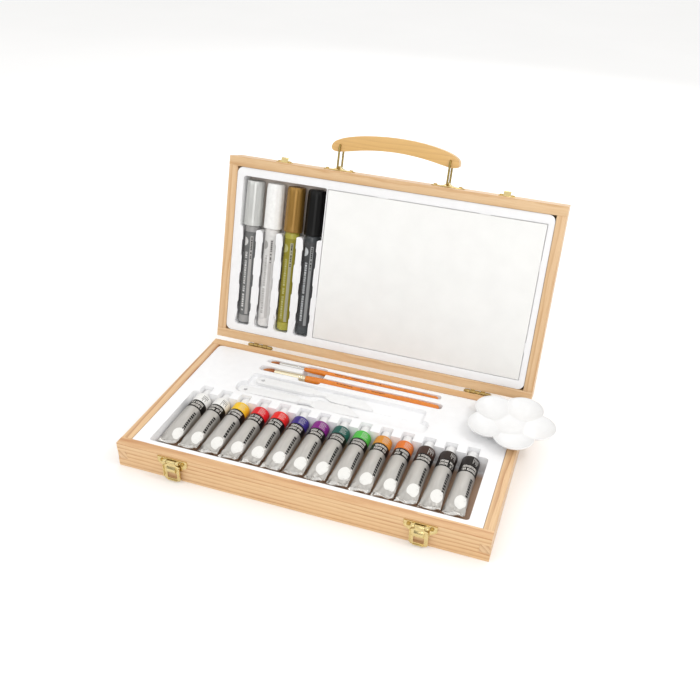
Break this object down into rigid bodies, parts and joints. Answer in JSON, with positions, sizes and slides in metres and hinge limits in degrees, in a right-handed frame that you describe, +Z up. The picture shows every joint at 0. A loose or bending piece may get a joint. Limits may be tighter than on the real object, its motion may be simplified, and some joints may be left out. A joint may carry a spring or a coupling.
{
  "type": "art supply box",
  "caption": "Hinged wooden case with latches and carrying handle, holding paint tubes, markers, brushes, palette knives, a board and a mixing palette.",
  "frame": {"origin": "centre of the base frame underside, on the surface it stands on", "axes": "+X along the long side, +Y towards the hinge side, +Z up"},
  "size_m": [0.3598, 0.2742, 0.2373],
  "materials": {
    "pine": "clear lacquered pine",
    "pine_lid": "clear lacquered pine",
    "ply": "thin plywood",
    "insert_plastic": "formed white styrene sheet",
    "brass": "polished brass plate",
    "grip_wood": "smooth lacquered beech",
    "canvas": "primed canvas board",
    "tube_metal": "satin lacquered tube",
    "white_plastic": "gloss white",
    "brush_orange": "orange gloss lacquer",
    "ferrule": "polished",
    "bristle": "brown filament",
    "cap_silver": "moulded cap",
    "barrel_silver": "moulded barrel",
    "cap_white": "moulded cap",
    "barrel_white": "moulded barrel",
    "cap_gold": "moulded cap",
    "barrel_gold": "moulded barrel",
    "cap_black": "moulded cap",
    "barrel_black": "moulded barrel"
  },
  "bodies": {
    "base": {"base_rail_front": "pine", "base_rail_rear": "pine", "base_rail_left": "pine", "base_rail_right": "pine", "base_panel": "ply", "base_insert": "insert_plastic", "base_hinge_leaves": "brass", "hinge_pins": "brass", "hinge_screws_base": "brass", "latch_plates": "brass", "latch_pins": "brass", "latch_screws": "brass"},
    "hasp_left": {"latch_hasp_left": "brass"},
    "hasp_right": {"latch_hasp_right": "brass"},
    "lid": {"lid_rail_front": "pine_lid", "lid_rail_rear": "pine_lid", "lid_rail_left": "pine_lid", "lid_rail_right": "pine_lid", "lid_panel": "ply", "lid_insert": "insert_plastic", "lid_hinge_leaves": "brass", "lid_catches": "brass", "handle_brackets": "brass", "lid_screws": "brass"},
    "bail_left": {"handle_bail_left": "brass"},
    "bail_right": {"handle_bail_right": "brass"},
    "grip": {"handle_grip": "grip_wood"},
    "canvas_board": {"canvas_board": "canvas"},
    "marker_silver": {"marker_silver_body": "barrel_silver", "marker_silver_cap": "cap_silver"},
    "marker_white": {"marker_white_body": "barrel_white", "marker_white_cap": "cap_white"},
    "marker_gold": {"marker_gold_body": "barrel_gold", "marker_gold_cap": "cap_gold"},
    "marker_black": {"marker_black_body": "barrel_black", "marker_black_cap": "cap_black"},
    "paint_tube_01": {"paint_tube_01": "tube_metal"},
    "paint_tube_02": {"paint_tube_02": "tube_metal"},
    "paint_tube_03": {"paint_tube_03": "tube_metal"},
    "paint_tube_04": {"paint_tube_04": "tube_metal"},
    "paint_tube_05": {"paint_tube_05": "tube_metal"},
    "paint_tube_06": {"paint_tube_06": "tube_metal"},
    "paint_tube_07": {"paint_tube_07": "tube_metal"},
    "paint_tube_08": {"paint_tube_08": "tube_metal"},
    "paint_tube_09": {"paint_tube_09": "tube_metal"},
    "paint_tube_10": {"paint_tube_10": "tube_metal"},
    "paint_tube_11": {"paint_tube_11": "tube_metal"},
    "paint_tube_12": {"paint_tube_12": "tube_metal"},
    "paint_tube_13": {"paint_tube_13": "tube_metal"},
    "paint_tube_14": {"paint_tube_14": "tube_metal"},
    "brush_small": {"brush_small_bristles": "bristle", "brush_small_ferrule": "ferrule", "brush_small_handle": "brush_orange"},
    "brush_large": {"brush_large_bristles": "bristle", "brush_large_ferrule": "ferrule", "brush_large_handle": "brush_orange"},
    "palette_knife_front": {"palette_knife_front": "white_plastic"},
    "palette_knife_rear": {"palette_knife_rear": "white_plastic"},
    "flower_palette": {"flower_palette": "white_plastic"}
  },
  "joints": [
    {"name": "lid_hinge", "type": "hinge", "parent": "base", "child": "lid", "pos_m": [0, 0.0947, 0.02495], "axis": [-1, 0, 0], "range_deg": [-106.8, 0]},
    {"name": "hasp_left_swing", "type": "hinge", "parent": "base", "child": "hasp_left", "pos_m": [-0.111, -0.095, 0.0206], "axis": [-1, 0, 0], "range_deg": [0, 172]},
    {"name": "hasp_right_swing", "type": "hinge", "parent": "base", "child": "hasp_right", "pos_m": [0.1085, -0.095, 0.0206], "axis": [-1, 0, 0], "range_deg": [0, 172]},
    {"name": "handle_swing", "type": "hinge", "parent": "lid", "child": "bail_left", "pos_m": [-0.0555, 0.16207, 0.20225], "axis": [0, 0.9573, -0.289], "range_deg": [-62, 62]},
    {"name": "bail_right_swing", "type": "hinge", "parent": "lid", "child": "bail_right", "pos_m": [0.0523, 0.16207, 0.20225], "axis": [0, 0.9573, -0.289], "range_deg": [-62, 62]},
    {"name": "grip_level", "type": "hinge", "parent": "bail_left", "child": "grip", "pos_m": [-0.0555, 0.16831, 0.22292], "axis": [0, 0.9573, -0.289], "range_deg": [-62, 62]},
    {"name": "board_lift", "type": "slide", "parent": "lid", "child": "canvas_board", "axis": [0, -0.9573, 0.289], "range_m": [0, 0.03]},
    {"name": "marker_silver_lift", "type": "slide", "parent": "lid", "child": "marker_silver", "axis": [0, -0.9573, 0.289], "range_m": [0, 0.04]},
    {"name": "marker_white_lift", "type": "slide", "parent": "lid", "child": "marker_white", "axis": [0, -0.9573, 0.289], "range_m": [0, 0.04]},
    {"name": "marker_gold_lift", "type": "slide", "parent": "lid", "child": "marker_gold", "axis": [0, -0.9573, 0.289], "range_m": [0, 0.04]},
    {"name": "marker_black_lift", "type": "slide", "parent": "lid", "child": "marker_black", "axis": [0, -0.9573, 0.289], "range_m": [0, 0.04]},
    {"name": "paint_tube_01_lift", "type": "slide", "parent": "base", "child": "paint_tube_01", "axis": [0, 0, 1], "range_m": [0, 0.04]},
    {"name": "paint_tube_02_lift", "type": "slide", "parent": "base", "child": "paint_tube_02", "axis": [0, 0, 1], "range_m": [0, 0.04]},
    {"name": "paint_tube_03_lift", "type": "slide", "parent": "base", "child": "paint_tube_03", "axis": [0, 0, 1], "range_m": [0, 0.04]},
    {"name": "paint_tube_04_lift", "type": "slide", "parent": "base", "child": "paint_tube_04", "axis": [0, 0, 1], "range_m": [0, 0.04]},
    {"name": "paint_tube_05_lift", "type": "slide", "parent": "base", "child": "paint_tube_05", "axis": [0, 0, 1], "range_m": [0, 0.04]},
    {"name": "paint_tube_06_lift", "type": "slide", "parent": "base", "child": "paint_tube_06", "axis": [0, 0, 1], "range_m": [0, 0.04]},
    {"name": "paint_tube_07_lift", "type": "slide", "parent": "base", "child": "paint_tube_07", "axis": [0, 0, 1], "range_m": [0, 0.04]},
    {"name": "paint_tube_08_lift", "type": "slide", "parent": "base", "child": "paint_tube_08", "axis": [0, 0, 1], "range_m": [0, 0.04]},
    {"name": "paint_tube_09_lift", "type": "slide", "parent": "base", "child": "paint_tube_09", "axis": [0, 0, 1], "range_m": [0, 0.04]},
    {"name": "paint_tube_10_lift", "type": "slide", "parent": "base", "child": "paint_tube_10", "axis": [0, 0, 1], "range_m": [0, 0.04]},
    {"name": "paint_tube_11_lift", "type": "slide", "parent": "base", "child": "paint_tube_11", "axis": [0, 0, 1], "range_m": [0, 0.04]},
    {"name": "paint_tube_12_lift", "type": "slide", "parent": "base", "child": "paint_tube_12", "axis": [0, 0, 1], "range_m": [0, 0.04]},
    {"name": "paint_tube_13_lift", "type": "slide", "parent": "base", "child": "paint_tube_13", "axis": [0, 0, 1], "range_m": [0, 0.04]},
    {"name": "paint_tube_14_lift", "type": "slide", "parent": "base", "child": "paint_tube_14", "axis": [0, 0, 1], "range_m": [0, 0.04]},
    {"name": "brush_small_lift", "type": "slide", "parent": "base", "child": "brush_small", "axis": [0, 0, 1], "range_m": [0, 0.02]},
    {"name": "brush_large_lift", "type": "slide", "parent": "base", "child": "brush_large", "axis": [0, 0, 1], "range_m": [0, 0.02]},
    {"name": "palette_knife_front_lift", "type": "slide", "parent": "base", "child": "palette_knife_front", "axis": [0, 0, 1], "range_m": [0, 0.03]},
    {"name": "palette_knife_rear_lift", "type": "slide", "parent": "base", "child": "palette_knife_rear", "axis": [0, 0, 1], "range_m": [0, 0.03]},
    {"name": "palette_aside", "type": "slide", "parent": "base", "child": "flower_palette", "axis": [1, 0, 0], "range_m": [0, 0.136]}
  ],
  "couplings": [
    {"joint": "bail_right_swing", "follows": "handle_swing", "ratio": 1},
    {"joint": "grip_level", "follows": "handle_swing", "ratio": -1},
    {"joint": "palette_aside", "follows": "lid_hinge", "m_per_rad": -0.072424}
  ]
}
